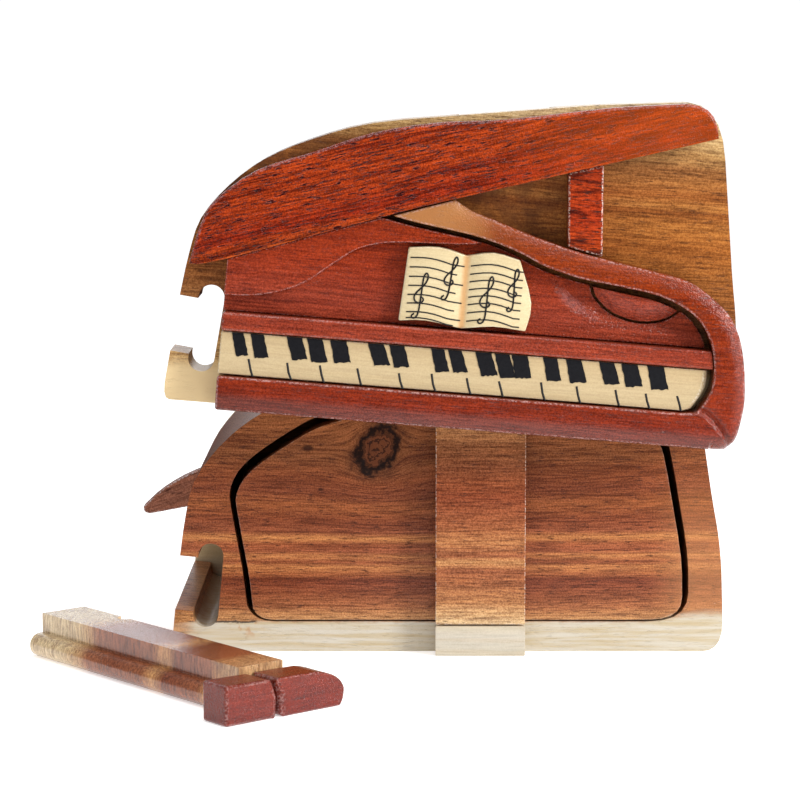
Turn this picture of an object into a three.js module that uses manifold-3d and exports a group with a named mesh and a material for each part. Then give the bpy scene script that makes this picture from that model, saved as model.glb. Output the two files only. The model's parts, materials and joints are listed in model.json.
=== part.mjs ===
// A band-sawn wooden secret box in the shape of a grand piano.
//
// A ring and a drawer are sawn from one block and closed by a back panel.
// The cover with the piano relief slides up a dovetail rail, and a T-shaped
// key bar locks the two together from the left-hand side.
//
// Millimetres, +X right, +Y back, +Z up. The origin is the middle of the
// box's base. The cover is drawn closed and then lifted, and the key is drawn
// in its slot and then laid on the table.

import * as THREE from 'three';
import { mergeVertices } from 'three/addons/utils/BufferGeometryUtils.js';
import Module from 'manifold-3d';

const wasm = await Module();
wasm.setup();

// ---------------------------------------------------------------------------
// Driving dimensions
// ---------------------------------------------------------------------------

// Box
const boxWidth = 153;
const boxHeight = 89;
const ringDepth = 74;
const backThickness = 5.7;

// Cover
const coverThickness = 15.5;
const rimThickness = 9.7;
const lidThickness = 10;
const propThickness = 7.5;
const deskUpperThickness = 8;
const deskLowerThickness = 4.6;
const leafThickness = 7.4;
const fallboardThickness = 8.9;
const keyboardThickness = 7.6;
const bookThickness = 4.2;

// How far the cover and its rim reach below the box while the slots line up
const coverSag = 1.4;
const rimSag = 2.2;

// Dovetail rail
const railCentre = 9;
const railFrontWidth = 24.9;
const railRootWidth = 20.5;
const railProud = 6.4;
const railSideClearance = 1.7;
const railFrontClearance = 0.8;

// Drawer
const drawerFrontThickness = 8;
const drawerBackThickness = 8;
const drawerWall = 7;
const drawerSideHeight = 46;
const sawKerf = 1.7;
const drawerRestGap = 0.4;

// T-slot and key, measured across and along the sloping left-hand edge
const slotLip = 5;
const slotCavity = 7;
const slotMouthLow = 11.9;
const slotMouthHigh = 27.1;
const slotCavityLow = 7.7;
const slotCavityHigh = 31.3;
const keyClearance = 0.6;
const keySoleThickness = 1.6;
const keySoleInset = 2.2;
const keyNotchRadius = 2.2;
const keyNotchFromBack = 20;
const keyNotchShort = 0.8;
const headWidth = 10.4;
const headLow = 0.7;
const headSplit = 16.5;
const headHigh = 38.5;
const headThickness = 10;
const headTip = 9;
const headGrooveFall = 1.6;
const headGrooveRise = 2.6;

// Tongue behind the box
const tongueThickness = 5;

// Gaps between pieces
const glueGap = 0.3;
const slidingGap = 0.4;
const seamGap = 0.4;
const rimGap = 1.4;

// Poses
const liftAngle = THREE.MathUtils.degToRad(4.65);
const liftCentre = { x: 836, z: 40 };
const keyTurn = THREE.MathUtils.degToRad(40.5);
const keyEndInside = 28.2;
const keyEndBefore = 68;

// ---------------------------------------------------------------------------
// Places that follow from the dimensions
// ---------------------------------------------------------------------------

const boxDepth = ringDepth + glueGap + backThickness;
const ringFront = -boxDepth / 2;
const ringBack = ringFront + ringDepth;
const boxBack = boxDepth / 2;
const coverBack = ringFront - slidingGap;
const coverFront = coverBack - coverThickness;
const reliefBack = coverFront - glueGap;
const railBack = ringFront - glueGap;
const railFront = ringFront - railProud;
const slotInner = slotLip + slotCavity;
const slotMiddle = (slotMouthLow + slotMouthHigh) / 2;
const keyThickness = slotInner - keyClearance / 2;
const keyBack = ringBack - glueGap;
const keyEnd = { x: keyEndInside - boxWidth / 2, y: ringFront - keyEndBefore };

// The outlines are drawn on a grid for a box of this size, and stretch with it.
const gridWidth = 153;
const gridHeight = 89;
const at = (x, z) => new THREE.Vector2(x * boxWidth / gridWidth, z * boxHeight / gridHeight);

// Heights of the seams in the relief, on the same grid
const keyboardLow = 7.2;
const keyboardHigh = 19.2;
const fallboardHigh = 24.3;
const reliefLeftLow = -62;
const reliefLeftHigh = -61.2;
const lidTipHeight = 36.4;

const leftFoot = at(-76.6, 0);
const leftShoulder = at(-74, 27);

// ---------------------------------------------------------------------------
// Drawing
// ---------------------------------------------------------------------------

// A smooth curve through grid points.
function smooth(points, steps = 3) {
  const places = points.map(([x, z]) => at(x, z));
  return new THREE.SplineCurve(places).getPoints((points.length - 1) * steps);
}

// An arc-like bend from one grid point to another, pulled towards a corner.
function bend(from, corner, to, steps = 5) {
  const curve = new THREE.QuadraticBezierCurve(at(...from), at(...corner), at(...to));
  return curve.getPoints(steps);
}

// Points that follow a line at a distance to its left.
function beside(points, distance, closed = false) {
  const count = points.length;
  return points.map((point, i) => {
    const before = closed ? points[(i + count - 1) % count] : points[Math.max(i - 1, 0)];
    const after = closed ? points[(i + 1) % count] : points[Math.min(i + 1, count - 1)];
    const along = after.clone().sub(before).normalize();
    return new THREE.Vector2(point.x - along.y * distance, point.y + along.x * distance);
  });
}

// A closed line without repeated points.
function tidy(points) {
  return points.filter((point, i) => point.distanceTo(points[(i + 1) % points.length]) > 0.05);
}

// A closed line with further points along its long stretches.
function closely(points, step) {
  return points.flatMap((point, i) => {
    const next = points[(i + 1) % points.length];
    const count = Math.ceil(point.distanceTo(next) / step);
    return Array.from({ length: count }, (_, k) => point.clone().lerp(next, k / count));
  });
}

// A closed line without the points that lie straight between their neighbours.
function plain(points) {
  return points.filter((point, i) => {
    const back = points[(i + points.length - 1) % points.length].clone().sub(point);
    const on = points[(i + 1) % points.length].clone().sub(point);
    return Math.abs(back.cross(on)) > 0.01;
  });
}

// A clockwise outline drawn smaller by a distance. Where a corner is tighter
// than the distance, the points that would cross over it are left out.
function inset(points, distance) {
  const line = closely(tidy(points), 3);
  const near = distance - 0.05;
  const inner = beside(line, -distance, true);
  return plain(inner.filter((point) => line.every((old) => old.distanceTo(point) > near)));
}

function outline(...parts) {
  return new THREE.Shape(tidy(parts.flat()));
}

// A board with the given outline, standing between two depths.
function board(shape, front, back) {
  const geometry = new THREE.ExtrudeGeometry(shape, {
    depth: back - front,
    bevelEnabled: false,
    curveSegments: 8,
  });
  geometry.rotateX(Math.PI / 2);
  geometry.translate(0, back, 0);
  return toSolid(geometry);
}

function block(width, depth, height, x, y, z) {
  const geometry = new THREE.BoxGeometry(width, depth, height);
  geometry.translate(x, y, z);
  return toSolid(geometry);
}

function toSolid(geometry) {
  const bare = geometry.clone();
  bare.deleteAttribute('normal');
  bare.deleteAttribute('uv');
  const merged = mergeVertices(bare, 1e-4);
  return new wasm.Manifold(new wasm.Mesh({
    numProp: 3,
    vertProperties: new Float32Array(merged.attributes.position.array),
    triVerts: new Uint32Array(merged.index.array),
  }));
}

function toGeometry(solid) {
  const mesh = solid.getMesh();
  const geometry = new THREE.BufferGeometry();
  geometry.setAttribute('position', new THREE.BufferAttribute(mesh.vertProperties, 3));
  geometry.setIndex(new THREE.BufferAttribute(mesh.triVerts, 1));
  geometry.computeVertexNormals();
  return geometry;
}

function piece(name, solid, material) {
  const mesh = new THREE.Mesh(toGeometry(solid), material);
  mesh.name = name;
  return mesh;
}

const wood = (color, roughness = 0.25) =>
  new THREE.MeshStandardMaterial({ color, roughness, metalness: 0 });

// ---------------------------------------------------------------------------
// Outlines
// ---------------------------------------------------------------------------

// The piano silhouette that the ring, back panel and cover share.
function pianoOutline(sag = 0) {
  return outline(
    [at(-74.9, -sag)],
    bend([71, -sag], [76.4, -sag], [76.5, 8]),
    smooth([[76.5, 8], [76, 22.4], [74.9, 33.2], [72.8, 45], [68.2, 74.5]]),
    bend([68.2, 74.5], [66, 89], [57, 89]),
    smooth([
      [57, 89], [32, 86.2], [0, 81.2], [-26, 76.8], [-42, 71.2], [-54, 65],
      [-63, 57.3], [-69.8, 48], [-72.4, 38], [-74, 27],
    ]),
    bend([-76.4, 3], [-76.6, -sag], [-74.9, -sag], 3),
  );
}

// The opening that the drawer is sawn from.
function openingPoints() {
  return [
    ...bend([-48, 8.4], [-54, 8.4], [-55.6, 13]),
    ...smooth([
      [-55.6, 13], [-57, 24.3], [-59.6, 39], [-59.9, 46], [-55.3, 53.3],
      [-43, 62], [-33, 66.8], [-18, 69.4], [10, 67.6], [53, 63.6],
    ]),
    ...bend([53, 63.6], [60, 62.9], [61.2, 57]),
    ...smooth([[61.2, 57], [63.3, 46.7], [66.4, 28], [66.9, 16.5]]),
    ...bend([66.9, 16.5], [66.8, 8.4], [56, 8.4]),
  ];
}

// The drawer is the opening less the saw's width, and rests on the floor.
function drawerPoints() {
  const sunk = sawKerf - drawerRestGap;
  return inset(openingPoints(), sawKerf).map((point) => new THREE.Vector2(point.x, point.y - sunk));
}

// Everything on the lid's side of its lower edge.
const lidEdge = smooth([[-71.5, lidTipHeight], [-61.3, 38.6], [-12, 56.1], [30, 69.6], [64.7, 80.3]], 4);

function aboveLidEdge(drop) {
  const edge = beside(lidEdge, -drop);
  return outline(edge, [at(110, 95), at(110, 140), at(-110, 140), at(-110, lidTipHeight)]);
}

function lidOutline() {
  return outline(
    lidEdge,
    bend([64.7, 80.3], [64, 89], [56, 88.7]),
    smooth([
      [56, 88.7], [36, 86], [9, 80.8], [-9, 78.5], [-26, 74.4],
      [-41, 68.2], [-55.5, 62.2], [-65.5, 54], [-69, 47.5], [-71.5, lidTipHeight],
    ]),
  );
}

// The middle of the gap inside the rim, from under the lid to the keyboard's end.
const rimSeam = smooth([
  [-20.5, 52.8], [-11.5, 51.1], [1.9, 49.2], [10, 47.2], [16.5, 44.9], [22.3, 42.4], [31.8, 40],
  [42.5, 38.7], [53.3, 37], [61.6, 33.3], [66, 28.5], [68.3, 22], [68.4, 14], [65.2, 8],
]);

function rimOutline() {
  return outline(
    beside(rimSeam, rimGap / 2).reverse(),
    [at(-26, 60)],
    [at(-6, 62)],
    smooth([
      [-4.2, 59.6], [1.7, 56.2], [8, 54.2], [18.4, 50.8], [30.8, 47.6], [41.5, 45.6], [55.4, 43.3],
      [62.3, 41.4], [69.9, 36.2], [74.2, 31], [77, 23], [78.4, 12], [77.8, 5],
    ]),
    bend([77.8, 5], [76.8, -rimSag], [73, -rimSag]),
    [at(reliefLeftLow, -rimSag), at(reliefLeftLow, keyboardLow), at(62, keyboardLow)],
  );
}

// The field that the rim frames: keyboard, fallboard and desk lie in it.
function fieldOutline(gap = rimGap) {
  const top = beside(rimSeam, rimGap / 2 - gap).reverse();
  return outline(
    [at(reliefLeftLow, keyboardLow).add(new THREE.Vector2(0, seamGap))],
    [at(62, keyboardLow).add(new THREE.Vector2(0, seamGap))],
    top,
    [at(reliefLeftHigh, 53)],
  );
}

// A level band of the field, from one seam to the next.
function bandOutline(low, high) {
  const lower = at(0, low).y + seamGap / 2;
  const upper = at(0, high).y - seamGap / 2;
  const reach = boxWidth;
  return outline([
    new THREE.Vector2(-reach, lower),
    new THREE.Vector2(reach, lower),
    new THREE.Vector2(reach, upper),
    new THREE.Vector2(-reach, upper),
  ]);
}

// The S-curve between the raised and the sunk parts of the desk.
const deskSeam = smooth([
  [-66, 28.7], [-56, 28.9], [-48.3, 30.4], [-40.6, 33.7], [-33.1, 39.6], [-26.8, 43.9],
  [-19, 46], [-8, 46.7], [3, 47.4], [14, 50],
]);

function deskUpperOutline() {
  return outline(beside(deskSeam, seamGap / 2), [at(14, 70), at(-66, 70)]);
}

function deskLowerOutline() {
  const edge = beside(deskSeam, -seamGap / 2).reverse();
  const floor = at(0, fallboardHigh).y + seamGap / 2;
  const left = new THREE.Vector2(at(-66, 0).x, floor);
  const right = new THREE.Vector2(at(80, 0).x, floor);
  return outline([left, right], [at(80, 50)], edge);
}

function leafOutline(margin) {
  const edge = smooth([[35.2, 42], [36, 36.6], [41, 32], [48.7, 30], [56, 31.4], [61.5, 36]]);
  return outline(beside(edge, -margin), [at(61.5, 50), at(35.2, 50)]);
}

function bookOutline() {
  return outline(
    smooth([[-15.2, 25.6], [-8, 26.3], [1.6, 24.8]]),
    smooth([[1.6, 24.8], [10, 26.1], [18.6, 25.4]]),
    smooth([[18.6, 25.4], [19.6, 33], [15.6, 44.2]]),
    smooth([[15.6, 44.2], [8.6, 45.6], [1.6, 44.2]]),
    smooth([[1.6, 44.2], [-6, 45.9], [-14, 45.2]]),
  );
}

function propOutline() {
  return outline([at(28.2, 45.6), at(37.6, 43.4), at(34.8, 80), at(25.4, 80)]);
}

// Everything above the rim's outer edge, and a gap more.
function aboveRim(gap) {
  const edge = smooth([[-4.2, 59.6], [18.4, 50.8], [30.8, 47.6], [41.5, 45.6], [55.4, 43.3]]);
  return outline(beside(edge, gap), [at(55.4, 120), at(-4.2, 120)]);
}

// ---------------------------------------------------------------------------
// T-slot and key
// ---------------------------------------------------------------------------

// A stadium standing on end: a flange or the cavity that holds it.
function stadium(left, right, low, high) {
  const radius = (right - left) / 2;
  const middle = (left + right) / 2;
  const shape = new THREE.Shape();
  shape.absarc(middle, high - radius, radius, 0, Math.PI, false);
  shape.absarc(middle, low + radius, radius, Math.PI, 2 * Math.PI, false);
  return shape;
}

function oblong(left, right, low, high) {
  const shape = new THREE.Shape();
  shape.moveTo(left, low);
  shape.lineTo(right, low);
  shape.lineTo(right, high);
  shape.lineTo(left, high);
  return shape;
}

// The T-slot, drawn upright and then leant along the box's left-hand edge.
function slotCutter(front, back) {
  const outside = -boxWidth / 8;
  const mouth = board(oblong(outside, slotLip + 1, slotMouthLow, slotMouthHigh), front, back);
  const cavity = board(stadium(slotLip, slotInner, slotCavityLow, slotCavityHigh), front, back);
  const edge = leftShoulder.clone().sub(leftFoot);
  const lean = THREE.MathUtils.radToDeg(Math.atan2(edge.x, edge.y));
  return mouth.add(cavity).rotate([0, lean, 0]).translate([leftFoot.x, 0, leftFoot.y]);
}

function keyBar() {
  const stemLow = slotMouthLow + keyClearance;
  const stemHigh = slotMouthHigh - keyClearance;
  const flangeLeft = keyThickness - slotCavity + keyClearance;
  const flangeLow = slotCavityLow + keyClearance;
  const flangeHigh = slotCavityHigh - keyClearance;
  const stem = board(oblong(0, flangeLeft + 1, stemLow, stemHigh), coverFront, keyBack);
  const flange = board(stadium(flangeLeft, keyThickness, flangeLow, flangeHigh), coverFront, keyBack);
  const soleLeft = keyThickness - keySoleThickness;
  const soleLow = flangeLow + keySoleInset;
  const soleHigh = flangeHigh - keySoleInset;
  const sole = board(oblong(soleLeft, keyThickness, soleLow, soleHigh), coverFront, keyBack);
  const notchLength = 2 * (flangeLeft - keyNotchShort);
  const notch = new THREE.CylinderGeometry(keyNotchRadius, keyNotchRadius, notchLength, 16);
  notch.rotateZ(Math.PI / 2);
  notch.translate(0, keyBack - keyNotchFromBack, stemHigh);
  return stem.add(flange).add(sole).subtract(toSolid(notch));
}

// One of the two blocks of the carved head, cut along a curved groove.
function keyHead(upper) {
  const left = keyThickness - headWidth;
  const groove = new THREE.QuadraticBezierCurve(
    new THREE.Vector2(left - 1, headSplit - headGrooveFall),
    new THREE.Vector2((left + keyThickness) / 2, headSplit + headGrooveRise),
    new THREE.Vector2(keyThickness + 1, headSplit + glueGap),
  ).getPoints(8);
  const front = reliefBack - headThickness;
  const whole = new THREE.Shape();
  whole.moveTo(keyThickness, headLow);
  whole.lineTo(keyThickness, headHigh - headTip / 6);
  whole.quadraticCurveTo(keyThickness - 1.5, headHigh, keyThickness - headTip / 2, headHigh);
  whole.quadraticCurveTo(left + 1.8, headHigh - 1.2, left + 0.5, headHigh - headTip);
  whole.lineTo(left, headLow);
  const solid = board(whole, front, reliefBack);
  const far = 2 * headHigh;
  const side = upper ? beside(groove, glueGap / 2) : beside(groove, -glueGap / 2);
  const reach = upper ? far : -far;
  const half = board(outline(side, [
    new THREE.Vector2(keyThickness + 5, reach),
    new THREE.Vector2(left - 5, reach),
  ]), front - 1, reliefBack + 1);
  return solid.intersect(half);
}

// ---------------------------------------------------------------------------
// Dovetail rail
// ---------------------------------------------------------------------------

// A length of dovetail, wider at the front than at the root.
function dovetail(margin, front, root, low, high) {
  const lift = (railFrontWidth - railRootWidth) / 2 / railProud;
  const rootHalf = railRootWidth / 2 + margin - (root - ringFront) * lift;
  const frontHalf = railRootWidth / 2 + margin + (ringFront - front) * lift;
  const shape = new THREE.Shape();
  shape.moveTo(railCentre - rootHalf, root);
  shape.lineTo(railCentre - frontHalf, front);
  shape.lineTo(railCentre + frontHalf, front);
  shape.lineTo(railCentre + rootHalf, root);
  const geometry = new THREE.ExtrudeGeometry(shape, { depth: high - low, bevelEnabled: false });
  geometry.translate(0, 0, low);
  return toSolid(geometry);
}

// ---------------------------------------------------------------------------
// Box
// ---------------------------------------------------------------------------

const middleHeight = boxHeight / 2;
const above = 2 * boxHeight;

function ringSolid(front, back) {
  const whole = board(pianoOutline(), front, back);
  return whole.subtract(board(outline(openingPoints()), front - 1, back + 1));
}

function buildBox() {
  const ring = ringSolid(ringFront, ringBack).subtract(slotCutter(ringFront - 1, ringBack + 1));
  const backPanel = board(pianoOutline(), ringBack + glueGap, boxBack);
  const railField = ringSolid(railFront - 1, railBack + 1);
  const railTop = dovetail(0, railFront, railBack, middleHeight, above).intersect(railField);
  const railFoot = dovetail(0, railFront, railBack, 0, middleHeight).intersect(railField);
  const tongueShape = outline(
    bend([-89.5, 25.2], [-91.9, 25.2], [-91.6, 27.4], 3),
    smooth([[-91.6, 27.4], [-85.3, 33], [-75.5, 38.4], [-62, 42.5], [-52, 43.4]]),
    bend([-52, 43.4], [-44, 42], [-46, 36]),
    smooth([[-46, 36], [-60, 31], [-78, 27.4], [-89.5, 25.2]]),
  );
  const tongue = board(tongueShape, boxBack + glueGap, boxBack + glueGap + tongueThickness);
  const box = new THREE.Group();
  box.add(piece('box_ring', ring, wood(0x96603a)));
  box.add(piece('back_panel', backPanel, wood(0xd9bc86)));
  box.add(piece('rail_top_stub', railTop, wood(0xa87044)));
  box.add(piece('rail_bottom_stub', railFoot, wood(0xe1cda5)));
  box.add(piece('rear_tongue', tongue, wood(0x7a4d3a)));
  return box;
}

// ---------------------------------------------------------------------------
// Drawer
// ---------------------------------------------------------------------------

function buildDrawer() {
  const points = drawerPoints();
  const shape = outline(points);
  const frontBack = ringFront + drawerFrontThickness;
  const backFront = ringBack - glueGap - drawerBackThickness;
  const front = board(shape, ringFront, frontBack);
  const back = board(shape, backFront, ringBack - glueGap);
  const trayFront = frontBack + glueGap;
  const trayBack = backFront - glueGap;
  const hollow = board(outline(inset(points, drawerWall)), trayFront - 1, trayBack + 1);
  const open = block(2 * boxWidth, boxDepth, above, 0, 0, drawerSideHeight + above / 2);
  const tray = board(shape, trayFront, trayBack).subtract(hollow).subtract(open);
  const railField = board(shape, railFront - 1, railBack + 1);
  const rail = dovetail(0, railFront, railBack, 0, above).intersect(railField);
  const drawer = new THREE.Group();
  drawer.add(piece('drawer_front', front, wood(0x94592f)));
  drawer.add(piece('drawer_tray', tray, wood(0xb98552)));
  drawer.add(piece('drawer_back', back, wood(0xa06a3c)));
  drawer.add(piece('drawer_rail', rail, wood(0xb27a49)));
  return drawer;
}

// ---------------------------------------------------------------------------
// Cover
// ---------------------------------------------------------------------------

function reliefBoard(shape, thickness) {
  return board(shape, reliefBack - thickness, reliefBack);
}

function buildCover() {
  const deep = rimThickness + lidThickness;
  const lidSide = reliefBoard(aboveLidEdge(seamGap), deep);
  const field = reliefBoard(fieldOutline(), deep);
  const keyboardBand = reliefBoard(bandOutline(keyboardLow - 2, keyboardHigh), deep);
  const fallboardBand = reliefBoard(bandOutline(keyboardHigh, fallboardHigh), deep);

  const grooveFront = railFront - railFrontClearance;
  const groove = dovetail(railSideClearance, grooveFront, coverBack + 1, -2 * coverSag, above);
  const slab = board(pianoOutline(coverSag), coverFront, coverBack)
    .subtract(groove)
    .subtract(slotCutter(coverFront - 1, coverBack + 1));
  const lid = reliefBoard(lidOutline(), lidThickness);
  const prop = reliefBoard(propOutline(), propThickness)
    .subtract(lidSide)
    .intersect(reliefBoard(aboveRim(seamGap), deep));
  const rim = reliefBoard(rimOutline(), rimThickness).subtract(lidSide);
  const fallboard = reliefBoard(fieldOutline(seamGap), fallboardThickness).intersect(fallboardBand);
  const keyboard = reliefBoard(fieldOutline(), keyboardThickness).intersect(keyboardBand);
  const deskUpper = reliefBoard(deskUpperOutline(), deskUpperThickness)
    .intersect(field)
    .subtract(lidSide);
  const deskLower = reliefBoard(deskLowerOutline(), deskLowerThickness)
    .intersect(field)
    .subtract(reliefBoard(leafOutline(seamGap), deep));
  const leaf = reliefBoard(leafOutline(0), leafThickness).intersect(field);
  const bookBack = reliefBack - deskLowerThickness - glueGap;
  const book = board(bookOutline(), bookBack - bookThickness, bookBack);

  const closed = new THREE.Group();
  closed.position.set(-liftCentre.x, 0, -liftCentre.z);
  closed.add(piece('cover_slab', slab, wood(0xaf7846)));
  closed.add(piece('piano_lid', lid, wood(0xb94614, 0.15)));
  closed.add(piece('lid_prop', prop, wood(0x7a2c18)));
  closed.add(piece('piano_rim', rim, wood(0x963720)));
  closed.add(piece('fallboard', fallboard, wood(0x96341e)));
  closed.add(piece('desk_panel_upper', deskUpper, wood(0x9c3c22)));
  closed.add(piece('desk_panel_lower', deskLower, wood(0x9a3a20)));
  closed.add(piece('desk_leaf', leaf, wood(0x96341e)));
  closed.add(piece('music_book', book, wood(0xe8d29c)));
  closed.add(piece('keyboard', keyboard, wood(0xe6cd96)));
  const cover = new THREE.Group();
  cover.position.set(liftCentre.x, 0, liftCentre.z);
  cover.rotation.y = liftAngle;
  cover.add(closed);
  return cover;
}

// ---------------------------------------------------------------------------
// Key, lying on its flange with its head in front of the box
// ---------------------------------------------------------------------------

function buildKey() {
  const across = new THREE.Vector3(0, 0, -1);
  const along = new THREE.Vector3(-Math.sin(keyTurn), Math.cos(keyTurn), 0);
  const up = new THREE.Vector3(Math.cos(keyTurn), Math.sin(keyTurn), 0);
  const turn = new THREE.Matrix4().makeBasis(across, along, up);
  const end = new THREE.Vector3(keyThickness, coverFront, slotMiddle).applyMatrix4(turn);
  const key = new THREE.Group();
  key.quaternion.setFromRotationMatrix(turn);
  key.position.set(keyEnd.x - end.x, keyEnd.y - end.y, -end.z);
  key.add(piece('key_bar', keyBar(), wood(0xc99a62)));
  key.add(piece('key_head_lower', keyHead(false), wood(0x6e2316)));
  key.add(piece('key_head_upper', keyHead(true), wood(0x74261a)));
  return key;
}

const pianoBox = new THREE.Group();
pianoBox.add(buildBox());
pianoBox.add(buildDrawer());
pianoBox.add(buildCover());
pianoBox.add(buildKey());

export default pianoBox;
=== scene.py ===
# %% [markdown]
# # A piano-shaped secret box, shown half open
#
# The object is a puzzle box sawn from wood. Its pieces are a ring, a drawer
# sawn out of the ring, a cover that carries a carved grand piano, and a key
# bar that locks them. The measured model comes in first, as a frame. Each
# piece of it is then copied, finished by hand and shown in its place.

import json
import math
import random

import bmesh
import bpy
from mathutils import Matrix, Vector
from mathutils.kdtree import KDTree


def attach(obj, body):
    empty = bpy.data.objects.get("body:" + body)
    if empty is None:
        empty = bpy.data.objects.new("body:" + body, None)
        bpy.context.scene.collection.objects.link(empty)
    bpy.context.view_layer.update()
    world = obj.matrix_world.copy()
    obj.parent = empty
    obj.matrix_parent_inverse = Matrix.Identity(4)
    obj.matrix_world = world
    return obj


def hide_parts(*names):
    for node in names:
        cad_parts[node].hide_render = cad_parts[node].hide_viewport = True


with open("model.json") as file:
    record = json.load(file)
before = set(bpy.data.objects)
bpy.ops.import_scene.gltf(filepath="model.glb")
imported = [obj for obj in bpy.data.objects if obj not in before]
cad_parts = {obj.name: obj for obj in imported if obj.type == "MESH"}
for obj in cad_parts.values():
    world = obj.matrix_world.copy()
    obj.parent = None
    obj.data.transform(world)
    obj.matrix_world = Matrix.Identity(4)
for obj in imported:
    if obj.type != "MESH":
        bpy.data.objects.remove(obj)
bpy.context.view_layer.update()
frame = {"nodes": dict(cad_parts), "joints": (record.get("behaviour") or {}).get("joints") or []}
nodes = frame["nodes"]
MM = 0.001
print("frame:", len(nodes), "pieces of wood")

# %% [markdown]
# ## Where the cover lies when the box is shut
#
# The cover is shown lifted and tipped about a far pivot. Its carving is far
# easier to describe while it is level, so every cover piece is lowered, worked
# on, and raised again. The hinge in the frame gives the pivot. The slots of the
# cover and the box line up when it has turned back by 4.65 degrees.

# %% Lowering and raising the cover
hinge = next(joint for joint in frame["joints"] if joint["name"] == "cover_lift")
pivot = Vector(hinge["pos_m"])
tip = math.radians(4.65)
raised = (
    Matrix.Translation(pivot) @ Matrix.Rotation(tip, 4, "Y") @ Matrix.Translation(-pivot)
)
lowered = raised.inverted()
level = Matrix.Identity(4)
print("the cover is tipped by", round(math.degrees(tip), 2), "degrees")

# %% [markdown]
# ## Taking a piece from the frame
#
# A piece in the frame is a pile of loose triangles. A copy is made, its
# doubled corners are merged, and triangles that lie flat together become one
# face again. Clean faces are what the bevel and the cutting planes need.

# %% A clean copy of a piece
def whole(node, turn=level):
    bm = bmesh.new()
    bm.from_mesh(nodes[node].data)
    bmesh.ops.remove_doubles(bm, verts=bm.verts, dist=0.02 * MM)
    bmesh.ops.transform(bm, matrix=turn, verts=bm.verts)
    bmesh.ops.dissolve_limit(
        bm, angle_limit=math.radians(1), verts=bm.verts, edges=bm.edges)
    bm.normal_update()
    return bm


def front_of(bm):
    return min(vert.co.y for vert in bm.verts)


def back_of(bm):
    return max(vert.co.y for vert in bm.verts)


# %% [markdown]
# ## Easing the edges
#
# Sanding takes the sharpness off every edge, and lacquer gathers there and
# shines. A bevel with a round profile does the same. The middle of each bevel
# is written down in an attribute, so that the finish can paint pale wear and a
# painted highlight there later.

# %% Easing with a bevel
def middle(edge):
    """The middle of an edge, in millimetres."""
    return (edge.verts[0].co + edge.verts[1].co) / 2 / MM


def sharp_edges(bm, angle=35):
    return [
        edge for edge in bm.edges
        if edge.is_manifold and edge.calc_face_angle() > math.radians(angle)
    ]


def ease(bm, radius, segments=3, chosen=None):
    edges = [edge for edge in sharp_edges(bm) if chosen is None or chosen(edge)]
    made = bmesh.ops.bevel(
        bm, geom=edges, offset=radius * MM, offset_type="OFFSET", affect="EDGES",
        segments=segments, profile=0.5, material=-1, clamp_overlap=True)
    # This mark later paints pale wear and a painted highlight along the edge.
    wear_and_sheen = bm.verts.layers.float.get("wear_and_sheen") or bm.verts.layers.float.new("wear_and_sheen")
    rounded = set(made["faces"])
    for vert in bm.verts:
        if vert.link_faces and all(face in rounded for face in vert.link_faces):
            vert[wear_and_sheen] = 1.0
    bm.normal_update()


# %% [markdown]
# ## Closing the glue lines
#
# Neighbours in the frame stand a hair apart. On the real box they are glued
# tight, and a black seam would show. Scaling a piece would move its far side
# as well, so each point is pushed out along the mean of its side faces.

# %% Growing an outline sideways
def swell(bm, amount, chosen=None):
    moves = []
    for vert in bm.verts:
        if chosen and not chosen(vert.co):
            continue
        sides = [face.normal for face in vert.link_faces if abs(face.normal.y) < 0.5]
        if sides:
            push = sum((Vector((side.x, 0, side.z)) for side in sides), Vector())
            if push.length > 1e-6:
                push.normalize()
                reach = min(max(push.dot(side) for side in sides), 1.0)
                moves.append((vert, push * amount * MM / max(reach, 0.5)))
    for vert, move in moves:
        vert.co += move
    bm.normal_update()


# %% [markdown]
# Some edges are rolled over more than others. The front edges are the ones
# whose two ends lie in the foremost plane, and this makes a test for them.

# %% Telling the front edges
def on_front(bm):
    front = front_of(bm)
    return lambda edge: all(abs(vert.co.y - front) < 0.01 * MM for vert in edge.verts)


# %% [markdown]
# ## Carving a front
#
# A flat front has no points in its middle, so there is nothing to carve. It
# could be remeshed, but that would blur its edges. A net of thin cuts gives it
# points and leaves every edge where it is.

# %% A net of cuts
def net(bm, step, low=None, high=None):
    spots = [vert.co for vert in bm.verts]
    for axis in (0, 2):
        start = min(co[axis] for co in spots) if low is None else low[axis] * MM
        end = max(co[axis] for co in spots) if high is None else high[axis] * MM
        place = start + step * MM / 2
        while place < end:
            point = Vector((0, 0, 0))
            normal = Vector((0, 0, 0))
            point[axis] = place
            normal[axis] = 1
            faces = [face for face in bm.faces if face.normal.y < -0.05]
            edges = {edge for face in faces for edge in face.edges}
            verts = {vert for face in faces for vert in face.verts}
            bmesh.ops.bisect_plane(
                bm, geom=faces + list(edges) + list(verts), dist=0.002 * MM,
                plane_co=point, plane_no=normal)
            place += step * MM
    bm.normal_update()


# %% [markdown]
# Each point is then pushed in by the depth that a rule gives for its place,
# in millimetres. Points on the back stay, so the piece keeps its glue face.
# Where a hollow starts, its depth rises on a soft S, not on a step.

# %% Pressing the front in
def press(bm, rule):
    front, back = front_of(bm), back_of(bm)
    for vert in bm.verts:
        share = (back - vert.co.y) / (back - front)
        depth = rule(vert.co.x / MM, vert.co.z / MM)
        if depth:
            vert.co.y += min(depth * MM, 0.9 * (back - front)) * share
    bm.normal_update()


def rise(value):
    value = min(max(value, 0.0), 1.0)
    return value * value * (3 - 2 * value)


# %% [markdown]
# Carving follows lines: the edge of a panel, or the lip of a hollow. A tree of
# close points along the line finds how far any place is from it, and the side
# on which it lies.

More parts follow.
